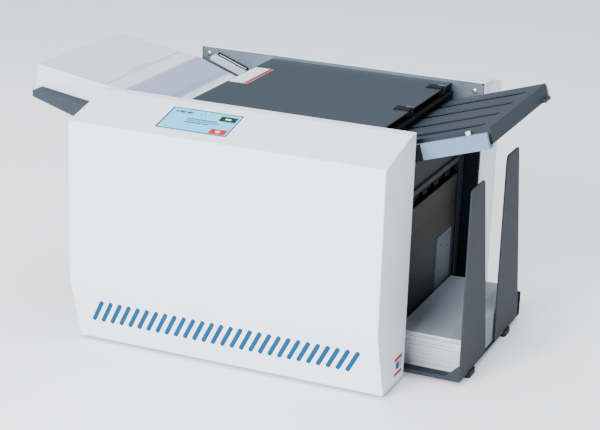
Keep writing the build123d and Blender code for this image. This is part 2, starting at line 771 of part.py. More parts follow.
# ==== output bay panels ====
bay_x = 198.0                  # the wall that the folded forms come out of
bay_y = (frame_front, 131.0)
bay_panels = {
    "exit_upper_panel": [(bay_x, 272), (bay_x, 223), (bay_x + 3, 221), (bay_x + 3, 214), (bay_x + 1.5, 214),
                         (bay_x + 1.5, 220.4), (bay_x - 1.5, 222.2), (bay_x - 1.5, 272)],
    "exit_chute": [(bay_x - 3, 196), (bay_x + 1, 196), (bay_x - 1.5, 160), (bay_x + 1, 126),
                   (bay_x - 0.5, 126), (bay_x - 3, 160), (bay_x - 0.9, 194), (bay_x - 3, 194)],
    "exit_lower_panel": [(bay_x, 125.5), (bay_x, 10), (bay_x - 1.5, 10), (bay_x - 1.5, 125.5)],
}
for name, outline in bay_panels.items():
    with BuildPart() as panel:
        with BuildSketch(across(bay_y[1])):
            with BuildLine():
                Polyline(*outline, close=True)
            make_face()
        extrude(amount=bay_y[1] - bay_y[0])
    finish(panel, name)

with BuildPart() as bay_post:
    with BuildSketch(Plane.XY.offset(10)):
        with Locations((196.5, 139)):
            Rectangle(7, 16)
        with Locations((195, 140.5)):
            Rectangle(7, 16, mode=Mode.SUBTRACT)
    extrude(amount=260)
finish(bay_post, "bay_post")

# ==== output tray and its two stop fingers ====
tray_right = 296.0
tray_y = (-118.0, 138.0)
tray_floor = floor_top + 0.3
with BuildPart() as output_tray:
    with BuildSketch(Plane.XY.offset(tray_floor)):
        with Locations(((130 + tray_right) / 2, (tray_y[0] + tray_y[1]) / 2)):
            Rectangle(tray_right - 130, tray_y[1] - tray_y[0])
    extrude(amount=sheet)
    with BuildSketch(across(tray_y[0] + sheet)):
        with BuildLine():
            Polyline((204, tray_floor), (tray_right, tray_floor), (tray_right, 28), (tray_right - 3, 28),
                     (tray_right - 19, 12.5), (204, 12.5), close=True)
        make_face()
    extrude(amount=sheet)
    with BuildSketch(across(tray_y[1])):
        with BuildLine():
            Polyline((204, tray_floor), (tray_right, tray_floor), (tray_right, 40), (204, 47), close=True)
        make_face()
    extrude(amount=sheet)
finish(output_tray, "output_tray")

finger_base, finger_tip = 101.0, 50.0
with BuildPart() as tray_fingers:
    for start, top in ((-116.4, 256.0), (26.0, 261.0)):
        with BuildSketch(Plane.YZ.offset(tray_right - 2)):
            with BuildLine() as outline:
                Polyline((start, tray_floor + sheet), (start + finger_base, tray_floor + sheet),
                         (start + finger_base, 24), (start + finger_tip, top), (start, top), close=True)
            make_face()
            fillet(outline.vertices().group_by(Axis.Y)[-1], 7)
        extrude(amount=2)
finish(tray_fingers, "tray_fingers")

with BuildPart() as tray_feet:
    with BuildSketch():
        with Locations((290.5, -72), (290.5, 78)):
            RectangleRounded(16, 24, 3)
    extrude(amount=tray_floor)
finish(tray_feet, "tray_feet")

# ==== forms: the fanned stack on the table and the folded ones in the tray ====
stack_left = -318.0
stack_thick = 28.0
with BuildPart() as form_stack:
    with BuildSketch(across(forms_back)):
        with BuildLine():
            Polyline((stack_left, table_z(stack_left) + 0.2),
                     (stack_left + stack_thick * math.sin(lean), table_z(stack_left) + stack_thick),
                     (-184, fan_top(-184)), (-50, fan_top(-50)), (-50, table_z(-50) + 0.2), close=True)
        make_face()
    extrude(amount=form_width)
finish(form_stack, "form_stack")

folded_depth = form_length / 3 - 1
stack_start = bay_x + 3.3
with BuildPart() as folded_stack:
    with BuildSketch(Plane.XY.offset(tray_floor + sheet)):
        with Locations((stack_start + folded_depth / 2, path_centre)):
            Rectangle(folded_depth, form_width)
    extrude(amount=44)
finish(folded_stack, "folded_stack")
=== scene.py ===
import bmesh
import bpy
import math
from mathutils import Matrix, Vector


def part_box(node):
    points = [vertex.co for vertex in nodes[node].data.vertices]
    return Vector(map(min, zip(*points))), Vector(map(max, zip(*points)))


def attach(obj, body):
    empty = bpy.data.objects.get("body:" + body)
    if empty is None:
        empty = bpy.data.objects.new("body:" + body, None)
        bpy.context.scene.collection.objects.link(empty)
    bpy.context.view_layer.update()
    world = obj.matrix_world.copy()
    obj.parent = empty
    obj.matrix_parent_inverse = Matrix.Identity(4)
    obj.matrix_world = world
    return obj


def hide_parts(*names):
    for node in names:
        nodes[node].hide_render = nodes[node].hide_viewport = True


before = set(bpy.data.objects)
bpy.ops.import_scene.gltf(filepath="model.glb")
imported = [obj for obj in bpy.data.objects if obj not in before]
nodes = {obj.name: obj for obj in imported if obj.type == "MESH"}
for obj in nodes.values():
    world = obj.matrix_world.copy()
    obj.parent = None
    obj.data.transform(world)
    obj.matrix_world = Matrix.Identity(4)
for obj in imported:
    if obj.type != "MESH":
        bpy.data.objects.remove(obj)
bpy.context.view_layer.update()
scene = bpy.context.scene
mm = 0.001
print("stage: frame loaded,", len(nodes), "nodes")


def toLinear(hexColour):
    parts = [int(hexColour[i:i + 2], 16) / 255 for i in (1, 3, 5)]
    return tuple(p / 12.92 if p <= 0.04045 else ((p + 0.055) / 1.055) ** 2.4
                 for p in parts) + (1.0,)


def addNode(tree, kind, values=None, links=None, **settings):
    node = tree.nodes.new(kind)
    for name, value in settings.items():
        setattr(node, name, value)
    for key, value in (values or {}).items():
        node.inputs[key].default_value = value
    for key, source in (links or {}).items():
        tree.links.new(source, node.inputs[key])
    return node


def startMaterial(name, shader):
    material = bpy.data.materials.new(name)
    material.use_nodes = True
    tree = material.node_tree
    tree.nodes.clear()
    surface = addNode(tree, "ShaderNodeBsdfPrincipled", shader)
    addNode(tree, "ShaderNodeOutputMaterial", links={"Surface": surface.outputs[0]})
    coords = addNode(tree, "ShaderNodeTexCoord")
    return material, tree, surface, coords.outputs["Object"]


pattern = {"cloudDetail": 3.0, "grainDetail": 4.0, "cloudShare": 0.65, "grainShare": 0.35,
           "coatRoughness": 0.1}


def surfaceMaterial(name, finish):
    # finish: colour, shade (the darker tone), cloud and grain (sizes in mm), depth (relief in mm),
    # rough (lowest, highest), and optional metallic, stretch, coat, ior, sheen, glow, dimples
    shader = {"Metallic": finish.get("metallic", 0.0), "Coat Weight": finish.get("coat", 0.0),
              "Coat Roughness": pattern["coatRoughness"]}
    if "ior" in finish:
        shader["IOR"] = finish["ior"]
    if "sheen" in finish:
        shader["Specular IOR Level"] = finish["sheen"]
    material, tree, surface, coords = startMaterial(name, shader)
    stretched = addNode(tree, "ShaderNodeMapping", {"Scale": finish.get("stretch", (1, 1, 1))},
                        {"Vector": coords})
    cloud = addNode(tree, "ShaderNodeTexNoise",
                    {"Scale": 1 / (finish["cloud"] * mm), "Detail": pattern["cloudDetail"]},
                    {"Vector": coords})
    if finish.get("dimples"):
        grain = addNode(tree, "ShaderNodeTexVoronoi", {"Scale": 1 / (finish["grain"] * mm)},
                        {"Vector": stretched.outputs[0]}, feature="SMOOTH_F1")
    else:
        grain = addNode(tree, "ShaderNodeTexNoise",
                        {"Scale": 1 / (finish["grain"] * mm), "Detail": pattern["grainDetail"]},
                        {"Vector": stretched.outputs[0]})
    fine = addNode(tree, "ShaderNodeMath", {1: pattern["grainShare"]}, {0: grain.outputs[0]},
                   operation="MULTIPLY")
    blend = addNode(tree, "ShaderNodeMath", {1: pattern["cloudShare"]},
                    {0: cloud.outputs[0], 2: fine.outputs[0]}, operation="MULTIPLY_ADD")
    tone = addNode(tree, "ShaderNodeMix",
                   {6: toLinear(finish["shade"]), 7: toLinear(finish["colour"])},
                   {0: blend.outputs[0]}, data_type="RGBA")
    tree.links.new(tone.outputs[2], surface.inputs["Base Color"])
    rough = addNode(tree, "ShaderNodeMapRange", {3: finish["rough"][0], 4: finish["rough"][1]},
                    {0: grain.outputs[0]})
    tree.links.new(rough.outputs[0], surface.inputs["Roughness"])
    bump = addNode(tree, "ShaderNodeBump", {"Distance": finish["depth"] * mm, "Strength": 1.0},
                   {"Height": grain.outputs[0]})
    tree.links.new(bump.outputs[0], surface.inputs["Normal"])
    if "glow" in finish:
        surface.inputs["Emission Strength"].default_value = finish["glow"]
        tree.links.new(tone.outputs[2], surface.inputs["Emission Color"])
    return material


# most real grains here are finer than 0.4 mm, too fine to show from where the whole machine is
# seen, so each grain is drawn at 0.4 mm or coarser, as coarse as it needs to be to show
finishes = {
    # white polyester powder coat: faint dimples break up the highlights on the covers
    "whitePowderCoat": dict(colour="#E7ECF8", shade="#DFE6F3", cloud=160, grain=1.1, depth=0.02,
                            rough=(0.42, 0.52), ior=1.5, dimples=True),
    # grey powder coat of the lid and table: cloudy tone and a dull sheen
    "greyPowderCoat": dict(colour="#303B44", shade="#28323A", sheen=0.25, cloud=120, grain=0.9,
                           depth=0.03, rough=(0.55, 0.7), ior=1.5, dimples=True),
    # the same coat on the tray and lower plate, painted a little darker for the shade they stand
    # in
    "shadedGreyCoat": dict(colour="#2C343B", shade="#242B32", sheen=0.2, cloud=70, grain=0.9,
                            depth=0.03, rough=(0.6, 0.75), ior=1.5, dimples=True),
    # satin light blue paint on the fold plate's rails: smooth with slight clouding
    "satinBluePaint": dict(colour="#6F86A0", shade="#60768F", sheen=0.3, cloud=40, grain=0.7,
                           depth=0.01, rough=(0.32, 0.42), ior=1.5),
    # brushed aluminium guides: pale streaks along them, half dulled by the clear oxide film
    "brushedAluminium": dict(colour="#D9DEE3", shade="#BCC4CC", cloud=25, grain=0.8, depth=0.006,
                             rough=(0.3, 0.42), metallic=0.5, stretch=(0.15, 1, 1)),
    # satin paint of the bay panels: soft blue-black tone
    "blueBlackPaint": dict(colour="#2A323A", shade="#1C2329", sheen=0.2, cloud=60, grain=0.8,
                           depth=0.02, rough=(0.58, 0.72), ior=1.5, dimples=True),
    # mid-grey powder coat of the stiffening strip in the bay: lighter than the panel it is on
    "midGreyCoat": dict(colour="#56626D", shade="#47525C", cloud=40, grain=0.9, depth=0.02,
                        rough=(0.58, 0.72), ior=1.5, dimples=True),
    # antistatic sheet of the chute: warm dark grey with fine streaks along its width
    "antistaticSheet": dict(colour="#2E2825", shade="#221D1A", sheen=0.2, cloud=45, grain=1.4,
                            depth=0.02, rough=(0.55, 0.7), ior=1.5, stretch=(1, 0.08, 1)),
    # zinc-plated sheet: bluish spangle with rolled streaks
    "zincSheet": dict(colour="#8593A0", shade="#68757F", cloud=30, grain=1.2, depth=0.008,
                      rough=(0.3, 0.46), metallic=0.85, stretch=(0.12, 1, 1)),
    # ground steel of shafts: fine rings round the axis
    "groundSteel": dict(colour="#D4D7DA", shade="#B4B8BC", cloud=20, grain=0.5, depth=0.004,
                        rough=(0.14, 0.28), metallic=1.0, stretch=(1, 0.2, 1)),
    # moulded blue ABS of the vents: satin with a faint grain
    "mouldedBlueAbs": dict(colour="#004A72", shade="#003C62", sheen=0.2, cloud=20, grain=0.6,
                           depth=0.015, rough=(0.65, 0.8), ior=1.46),
    # moulded black ABS: eroded grain that greys the highlights
    "mouldedBlackAbs": dict(colour="#0A0B0D", shade="#050506", sheen=0.25, cloud=15, grain=0.5,
                            depth=0.03, rough=(0.65, 0.82), ior=1.46),
    # moulded off-white acetal of the knob: waxy, nearly smooth
    "mouldedWhiteAcetal": dict(colour="#F2F3F1", shade="#E0E2E0", cloud=12, grain=0.8,
                               depth=0.008, rough=(0.25, 0.36), ior=1.48),
    # cream acetal of the gears: waxy, slightly clouded, with a soft highlight on each tooth
    "gearAcetal": dict(colour="#E2DFD2", shade="#CFCABA", cloud=14, grain=0.6, depth=0.01,
                       rough=(0.3, 0.42), ior=1.48),
    # green solder mask: glossy lacquer over darker copper
    "solderMask": dict(colour="#12683A", shade="#0A4426", cloud=9, grain=2.0, depth=0.01,
                       rough=(0.18, 0.3), coat=0.5),
    # ground roller rubber: matt, with fine turning marks
    "rollerRubber": dict(colour="#141517", shade="#0A0B0C", sheen=0.2, cloud=25, grain=0.8,
                         depth=0.03, rough=(0.6, 0.78), stretch=(1, 0.15, 1)),
    # moulded rubber of the feet: dusty black, pitted, with no highlight
    "footRubber": dict(colour="#1A1A1B", shade="#0D0D0E", cloud=10, grain=0.9, depth=0.05,
                       rough=(0.7, 0.88), dimples=True),
    # rubber of the belts: dull black with streaks along the run
    "beltRubber": dict(colour="#191A1B", shade="#0E0F10", cloud=12, grain=0.6, depth=0.03,
                       rough=(0.55, 0.72), stretch=(1, 0.3, 1)),
    # black enamelled motor can: shiny over a slightly uneven coat
    "motorEnamel": dict(colour="#202225", shade="#131416", cloud=30, grain=3.0, depth=0.02,
                        rough=(0.2, 0.32), coat=0.4),
    # lit display behind a clear hard film: bright even blue that glows
    "displayGlow": dict(colour="#5CC4EE", shade="#4CB8E6", sheen=0.3, cloud=30, grain=1.5,
                        depth=0.002, rough=(0.12, 0.2), coat=0.3, glow=0.42),
    # unlit border of the display: dark glass with a sharp highlight
    "displayGlass": dict(colour="#2B343B", shade="#1B2228", cloud=20, grain=0.8, depth=0.004,
                         rough=(0.15, 0.25), coat=0.3),
    # lit keys of the display: strong flat tones with a little glow
    "greenKey": dict(colour="#06330E", shade="#042308", sheen=0.2, cloud=5, grain=0.8,
                     depth=0.002, rough=(0.2, 0.3), glow=0.1),
    "redKey": dict(colour="#B80E04", shade="#A20903", sheen=0.2, cloud=5, grain=0.8, depth=0.002,
                   rough=(0.2, 0.3), glow=0.2),
    # printed inks: flat tone with the faint mottle of screen printing
    "darkInk": dict(colour="#1A2028", shade="#0E131A", cloud=3, grain=0.5, depth=0.002,
                    rough=(0.4, 0.5)),
    "whiteInk": dict(colour="#F4F5F6", shade="#E2E5E8", cloud=5, grain=0.5, depth=0.002,
                     rough=(0.35, 0.45)),
    "redInk": dict(colour="#AE1408", shade="#980E04", sheen=0.25, cloud=8, grain=0.5,
                   depth=0.003, rough=(0.35, 0.45)),
    "blueInk": dict(colour="#1C4C92", shade="#143C7C", cloud=4, grain=0.5, depth=0.003,
                    rough=(0.35, 0.45)),
    # clear blue glue lines on the forms: glossier than the paper
    "glueLine": dict(colour="#4C9FC2", shade="#3A90B6", cloud=6, grain=0.6, depth=0.003,
                     rough=(0.25, 0.4)),
    # label film: satin white vinyl
    "labelFilm": dict(colour="#E4E7EA", shade="#D6DADE", cloud=20, grain=0.7, depth=0.004,
                      rough=(0.35, 0.5)),
    # near-black, matt sheet with an open pore texture: painted shade on the rear wall of the bay
    "liningFoam": dict(colour="#1A2229", shade="#10171C", sheen=0.2, cloud=30, grain=0.8,
                       depth=0.06, rough=(0.75, 0.9), dimples=True),
    # nickel plate of screws and clips: bright, slightly warm
    "nickelPlate": dict(colour="#C6CAD0", shade="#A6ABB3", cloud=6, grain=0.4, depth=0.006,
                        rough=(0.2, 0.34), metallic=1.0),
    # rolled studio paper under the machine: matt white that lifts its own shadows a little
    "studioPaper": dict(colour="#FBFBFC", shade="#F8F9FA", cloud=900, grain=4, depth=0.01,
                        rough=(0.75, 0.85), glow=0.3),
}
materials = {name: surfaceMaterial(name, finish) for name, finish in finishes.items()}

paper = {
    "roughness": 0.82, "ior": 1.45,
    "fibre": 1.6, "fibreDetail": 6.0,  # mm, coarser than real fibre clumps so that they show
    "relief": 0.03, "reliefStrength": 0.8,
    "sheetLine": 1.0, "lineDetail": 2.0,  # mm before the stretch; a line stands for a few edges
    "mottleFrom": 0.3, "mottleTo": 0.7, "mottle": 0.06,  # most that the shade tints the paper
    "upFrom": 0.5, "upTo": 0.8,  # how far up a face has to look to carry print and painted shade
}


def bandColours(tree, position, bands, soft):
    # bands: (start, hex) along one axis; each edge is soft metres wide
    before = {}
    for (_, hexBefore), (start, hexColour) in zip(bands, bands[1:]):
        edge = addNode(tree, "ShaderNodeMapRange", {1: start - soft / 2, 2: start + soft / 2},
                       {0: position})
        mix = addNode(tree, "ShaderNodeMix", {6: toLinear(hexBefore), 7: toLinear(hexColour)},
                      {0: edge.outputs[0], **before}, data_type="RGBA")
        before = {6: mix.outputs[2]}
    return mix.outputs[2]


def paperMaterial(name, sheet):
    # uncoated paper: fibre mottle, edges that show the separate sheets, bands by length that carry
    # print and painted shade
    material, tree, surface, coords = startMaterial(
        name, {"Roughness": paper["roughness"], "IOR": paper["ior"]})
    axes = addNode(tree, "ShaderNodeSeparateXYZ", links={"Vector": coords})
    tone = bandColours(tree, axes.outputs[0], sheet["bands"], sheet["soft"])
    fibre = addNode(tree, "ShaderNodeTexNoise",
                    {"Scale": 1 / (paper["fibre"] * mm), "Detail": paper["fibreDetail"]},
                    {"Vector": coords})
    stretched = addNode(tree, "ShaderNodeMapping", {"Scale": sheet["lineScale"]},
                        {"Vector": coords})
    lines = addNode(tree, "ShaderNodeTexNoise",
                    {"Scale": 1 / (paper["sheetLine"] * mm), "Detail": paper["lineDetail"]},
                    {"Vector": stretched.outputs[0]})
    edgeTone = addNode(tree, "ShaderNodeMix",
                       {6: toLinear(sheet["edgeShade"]), 7: toLinear(sheet["edge"])},
                       {0: lines.outputs[0]}, data_type="RGBA")
    # print and painted shade only where the paper faces up; the sides keep the lighter edge tone
    normal = addNode(tree, "ShaderNodeNewGeometry")
    up = addNode(tree, "ShaderNodeSeparateXYZ", links={"Vector": normal.outputs["Normal"]})
    flat = addNode(tree, "ShaderNodeMapRange", {1: paper["upFrom"], 2: paper["upTo"]},
                   {0: up.outputs[2]})
    printAndShade = addNode(tree, "ShaderNodeMix",
                      links={0: flat.outputs[0], 6: edgeTone.outputs[2], 7: tone},
                      data_type="RGBA")
    mottle = addNode(tree, "ShaderNodeMapRange",
                     {1: paper["mottleFrom"], 2: paper["mottleTo"], 3: 0.0, 4: paper["mottle"]},
                     {0: fibre.outputs[0]})
    shaded = addNode(tree, "ShaderNodeMix", {7: toLinear(sheet["edgeShade"])},
                     {0: mottle.outputs[0], 6: printAndShade.outputs[2]}, data_type="RGBA")
    tree.links.new(shaded.outputs[2], surface.inputs["Base Color"])
    bump = addNode(tree, "ShaderNodeBump",
                   {"Distance": paper["relief"] * mm, "Strength": paper["reliefStrength"]},
                   {"Height": fibre.outputs[0]})
    tree.links.new(bump.outputs[0], surface.inputs["Normal"])
    return material


def paint(obj, finishName):
    if not obj.material_slots:
        obj.data.materials.append(None)
    obj.material_slots[0].link = "OBJECT"
    obj.material_slots[0].material = materials[finishName]


nodeFinish = {
    "whitePowderCoat": "front_cover rear_cover",
    "greyPowderCoat": "infeed_table top_cover upper_fold_plate",
    "shadedGreyCoat": "output_tray tray_fingers lower_fold_plate",
    "satinBluePaint": "fold_plate_rails",
    "brushedAluminium": "guide_rails side_guide_front side_guide_rear",
    "blueBlackPaint": "exit_upper_panel exit_lower_panel infeed_panel bay_post",
    "antistaticSheet": "exit_chute transfer_guide",
    "zincSheet": "base_plate front_side_frame rear_side_frame power_supply tie_rods",
    "groundSteel": "roller_bearings feed_shaft motor_pulley",
    "mouldedBlueAbs": "vent_backing",
    # hinge_bracket is black to paint the shade under the lid's right edge
    "mouldedBlackAbs": "hinge_tabs hinge_bracket plate_slides power_inlet "
                       "switch_body rocker screen_bezel separator_arm fold_stop",
    "mouldedWhiteAcetal": "stop_knob",
    "gearAcetal": "fold_gear_1 fold_gear_2 fold_gear_3 fold_gear_4",
    "solderMask": "control_board",
    "rollerRubber": "fold_roller_1 fold_roller_2 fold_roller_3 fold_roller_4 feed_tyres "
                    "separator_pad seal_roller_lower seal_roller_upper exit_roller_lower "
                    "exit_roller_upper",
    "footRubber": "body_feet tray_feet",
    "beltRubber": "drive_belts",
    "motorEnamel": "drive_motor",
    "displayGlass": "touch_screen",
}
for finishName, nodeNames in nodeFinish.items():
    for nodeName in nodeNames.split():
        paint(nodes[nodeName], finishName)
print("stage: materials made,", len(materials))


def addPiece(name, mesh, body, slotName, *finishNames):
    mesh.name = name
    piece = bpy.data.objects.new(name, mesh)
    scene.collection.objects.link(piece)
    for finishName in finishNames:
        mesh.materials.append(materials[finishName])
    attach(piece, body)
    return piece


def roundedOutline(x0, y0, x1, y1, radius, steps=4):
    points = []
    corners = ((x1 - radius, y1 - radius, 0), (x0 + radius, y1 - radius, 90),
               (x0 + radius, y0 + radius, 180), (x1 - radius, y0 + radius, 270))
    for cx, cy, start in corners:
        for step in range(steps + 1):
            turn = math.radians(start + 90 * step / steps)
            points.append((cx + radius * math.cos(turn), cy + radius * math.sin(turn)))
    return points


def addSlab(work, outline, low, high, place, index=0):
    # a closed plate between two heights over an outline, moved by the matrix place
    rings = [[work.verts.new(place @ Vector((x, y, z))) for x, y in outline]
             for z in (low, high)]
    faces = [work.faces.new(rings[0][::-1]), work.faces.new(rings[1])]
    for i in range(len(outline)):
        j = (i + 1) % len(outline)
        faces.append(work.faces.new((rings[0][i], rings[0][j], rings[1][j], rings[1][i])))
    for face in faces:
        face.material_index = index


def meshFrom(work):
    bmesh.ops.recalc_face_normals(work, faces=work.faces)
    mesh = bpy.data.meshes.new("made")
    work.to_mesh(mesh)
    work.free()
    return mesh


def platePiece(name, place, plates, body, slotName):
    # plates: x0, y0, x1, y1, low, high, corner radius (all mm), finish
    finishNames = list(dict.fromkeys(plate[-1] for plate in plates))
    work = bmesh.new()
    for x0, y0, x1, y1, low, high, radius, finishName in plates:
        outline = [(x * mm, y * mm) for x, y in roundedOutline(x0, y0, x1, y1, radius)]
        addSlab(work, outline, low * mm, high * mm, place, finishNames.index(finishName))
    addPiece(name, meshFrom(work), body, slotName, *finishNames)


def shifted(plate, x, y):
    # the same plate moved across its face by x and y mm
    return (plate[0] + x, plate[1] + y, plate[2] + x, plate[3] + y) + plate[4:]


def startTree(name, sockets):
    tree = bpy.data.node_groups.new(name, "GeometryNodeTree")
    for socketName, kind in sockets.items():
        tree.interface.new_socket(socketName, in_out="INPUT", socket_type="NodeSocket" + kind)
    tree.interface.new_socket("Geometry", in_out="OUTPUT", socket_type="NodeSocketGeometry")
    return tree, tree.nodes.new("NodeGroupInput").outputs


def endTree(tree, geometry, material):
    real = addNode(tree, "GeometryNodeRealizeInstances", links={"Geometry": geometry})
    coated = addNode(tree, "GeometryNodeSetMaterial", {"Material": material},
                     {"Geometry": real.outputs[0]})
    addNode(tree, "NodeGroupOutput", links={"Geometry": coated.outputs[0]})


def growMesh(tree, values):
    # the plain mesh that a tree gives for these input values
    carrier = bpy.data.objects.new("carrier", bpy.data.meshes.new("carrier"))
    scene.collection.objects.link(carrier)
    grow = carrier.modifiers.new("grow", "NODES")
    grow.node_group = tree
    for item in tree.interface.items_tree:
        if item.in_out == "INPUT" and item.name in values:
            grow[item.identifier] = values[item.name]
    depsgraph = bpy.context.evaluated_depsgraph_get()
    mesh = bpy.data.meshes.new_from_object(carrier.evaluated_get(depsgraph))
    bpy.data.objects.remove(carrier)
    return mesh


def growFrom(treeMaker, name, material, shapeMesh, values):
    # the same for a tree that repeats one small shape
    shape = bpy.data.objects.new(name + "Shape", shapeMesh)
    scene.collection.objects.link(shape)
    mesh = growMesh(treeMaker(name, material, shape), values)
    bpy.data.objects.remove(shape)
    return mesh


def eitherWay(tree, most, seed):
    # a random vector between one and its opposite
    least = addNode(tree, "ShaderNodeVectorMath", {"Scale": -1.0}, {0: most}, operation="SCALE")
    return addNode(tree, "FunctionNodeRandomValue",
                   links={0: least.outputs[0], 1: most, "Seed": seed},
                   data_type="FLOAT_VECTOR").outputs[0]


def looseLine(tree, given):
    # points up a line at the pitch, each shifted a little at random
    step = addNode(tree, "ShaderNodeCombineXYZ", links={2: given["Pitch"]})
    line = addNode(tree, "GeometryNodeMeshLine",
                   links={"Count": given["Count"], "Offset": step.outputs[0]})
    spread = addNode(tree, "ShaderNodeCombineXYZ",
                     links={0: given["End jitter"], 1: given["Side jitter"]})
    shift = eitherWay(tree, spread.outputs[0], given["Seed"])
    moved = addNode(tree, "GeometryNodeSetPosition",
                    links={"Geometry": line.outputs[0], "Offset": shift})
    return moved.outputs[0]


# fanned forms on the infeed table, from the corners of the stack they replace
formLow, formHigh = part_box("form_stack")
formOutline = sorted({(round(v.co.x, 5), round(v.co.z, 5))
                      for v in nodes["form_stack"].data.vertices})
tail, tailTop = Vector(formOutline[0]), Vector(formOutline[1])
lead = Vector(min(p for p in formOutline if p[0] > formHigh.x - 1 * mm))
fanStart = Vector(max(p for p in formOutline if tailTop.x < p[0] < lead.x - 1 * mm))
slope = math.atan2(tail.y - lead.y, lead.x - tail.x)
along = Vector((math.cos(slope), -math.sin(slope)))
rise = Vector((math.sin(slope), math.cos(slope)))
stackHeight = (tailTop - tail).dot(rise)
sheetCount = 118
forms = {
    "Count": sheetCount, "Pitch": stackHeight / sheetCount, "Gap": 0.04 * mm,
    "Width": formHigh.y - formLow.y - 1.2 * mm,
    "Longest": (lead - tail).dot(along), "Shortest": (fanStart - tail).dot(along),
    "Side jitter": 0.4 * mm, "End jitter": 0.5 * mm, "Seed": 7,
}
tailGap = 0.6 * mm  # room for the end jitter behind the stack
# the top of the forms is painted darker than their white edges as painted shade, with a blue-grey
# band of print across it, and lighter again over the fanned lead
formTopPrintAndShade = {
    "bands": [(-1.0, "#CBD2DB"), (formHigh.x - 140 * mm, "#D3D9E0"),
              (formHigh.x - 138 * mm, "#97A4BE"), (formHigh.x - 96 * mm, "#8C9AB8"),
              (formHigh.x - 89 * mm, "#A3B0C8"), (formHigh.x - 86 * mm, "#DCE2EC")],
    "soft": 2.5 * mm, "edge": "#F6F8FB", "edgeShade": "#DDE2EB", "lineScale": (0.02, 0.02, 3.0),
}
materials["formPaperPrintAndShade"] = paperMaterial("formPaperPrintAndShade", formTopPrintAndShade)


def sheetTree(name, material):
    # a line of thin sheets, each as long as the fan allows at its height, with a little play
    tree, given = startTree(name, {
        "Count": "Int", "Pitch": "Float", "Gap": "Float", "Width": "Float", "Longest": "Float",
        "Shortest": "Float", "Side jitter": "Float", "End jitter": "Float", "Seed": "Int"})
    points = looseLine(tree, given)
    index = addNode(tree, "GeometryNodeInputIndex")
    last = addNode(tree, "ShaderNodeMath", {1: 1.0}, {0: given["Count"]}, operation="SUBTRACT")
    share = addNode(tree, "ShaderNodeMath", links={0: index.outputs[0], 1: last.outputs[0]},
                    operation="DIVIDE")
    length = addNode(tree, "ShaderNodeMapRange",
                     links={0: share.outputs[0], 3: given["Longest"], 4: given["Shortest"]})
    thin = addNode(tree, "ShaderNodeMath", links={0: given["Pitch"], 1: given["Gap"]},
                   operation="SUBTRACT")
    size = addNode(tree, "ShaderNodeCombineXYZ",
                   links={0: length.outputs[0], 1: given["Width"], 2: thin.outputs[0]})
    unit = addNode(tree, "GeometryNodeMeshCube", {"Size": (1, 1, 1)})
    cornered = addNode(tree, "GeometryNodeTransform", {"Translation": (0.5, 0, 0.5)},
                       {"Geometry": unit.outputs[0]})
    sheets = addNode(tree, "GeometryNodeInstanceOnPoints",
                     links={"Points": points, "Instance": cornered.outputs[0],
                            "Scale": size.outputs[0]})
    endTree(tree, sheets.outputs[0], material)
    return tree


formMesh = growMesh(sheetTree("fannedForms", materials["formPaperPrintAndShade"]), forms)
formPlace = (Matrix.Translation((tail.x + tailGap, (formLow.y + formHigh.y) / 2, tail.y))
             @ Matrix.Rotation(slope, 4, "Y"))
formMesh.transform(formPlace)
formSheets = addPiece("formSheets", formMesh, "chassis", "paper")
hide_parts("form_stack")

# two staggered rows of glue dashes and a row of ticks across the top form
formPrint = {
    "dash": (99, 0, 100.1, 5.5, 0.0, 0.06, 0.3, "glueLine"),
    "nextDash": (101.6, 2, 102.7, 7, 0.0, 0.06, 0.3, "glueLine"), "dashAt": range(-104, 104, 8),
    "tick": (94.2, 0, 95.4, 4.6, 0.0, 0.06, 0.3, "darkInk"), "tickAt": range(-34, 20, 6),
}
printPlates = []
for y in formPrint["dashAt"]:
    printPlates += [shifted(formPrint["dash"], 0, y), shifted(formPrint["nextDash"], 0, y)]
for y in formPrint["tickAt"]:
    printPlates.append(shifted(formPrint["tick"], 0, y))
platePiece("formPrint", formPlace @ Matrix.Translation((0, 0, stackHeight)), printPlates,
           "chassis", "paper")
print("stage: forms made,", len(formMesh.polygons), "faces")

# folded forms in the tray, in the space of the block they replace
foldedLow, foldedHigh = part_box("folded_stack")
foldedCount = 56
folded = {
    "Count": foldedCount, "Pitch": (foldedHigh.z - foldedLow.z) / foldedCount,
    "Side jitter": 0.8 * mm, "End jitter": 0.35 * mm, "Twist": math.radians(0.12), "Seed": 21,
}
mailer = {
    "length": foldedHigh.x - foldedLow.x - 1.4 * mm, "width": foldedHigh.y - foldedLow.y - 2 * mm,
    "thick": folded["Pitch"] - 0.05 * mm, "layers": 3, "gap": 0.03 * mm, "inset": 0.25 * mm,
    "corner": 0.09 * mm, "endGap": 0.7 * mm,
}
# the tops of the folded forms are painted grey for the shadow of the fold plate above them, darker
# still over the outer 22 mm
materials["foldedPaper"] = paperMaterial("foldedPaper", {
    "bands": [(-1.0, "#9FA8B2"), (foldedHigh.x - 22 * mm, "#8F99A4")], "soft": 6 * mm,
    "edge": "#F7F9FC", "edgeShade": "#C4CCD8", "lineScale": (0.03, 0.03, 2.2)})


def foldedForm():
    # layers sealed into one mailer: a rounded fold at each long edge, the middle layer set in
    work = bmesh.new()
    length, layer = mailer["length"], mailer["thick"] / mailer["layers"]
    onSide = Matrix(((1, 0, 0, 0), (0, 0, 1, -mailer["width"] / 2), (0, 1, 0, 0), (0, 0, 0, 1)))
    for level in range(mailer["layers"]):
        near = mailer["inset"] if level == 1 else 0.0
        far = length - near
        low = level * layer + mailer["gap"]
        high = (level + 1) * layer - mailer["gap"]
        corner = min(mailer["corner"], (high - low) / 2)
        profile = [(near, low + corner), (near + corner, low), (far - corner, low),
                   (far, low + corner), (far, high - corner), (far - corner, high),
                   (near + corner, high), (near, high - corner)]
        addSlab(work, profile, 0.0, mailer["width"], onSide)
    return meshFrom(work)


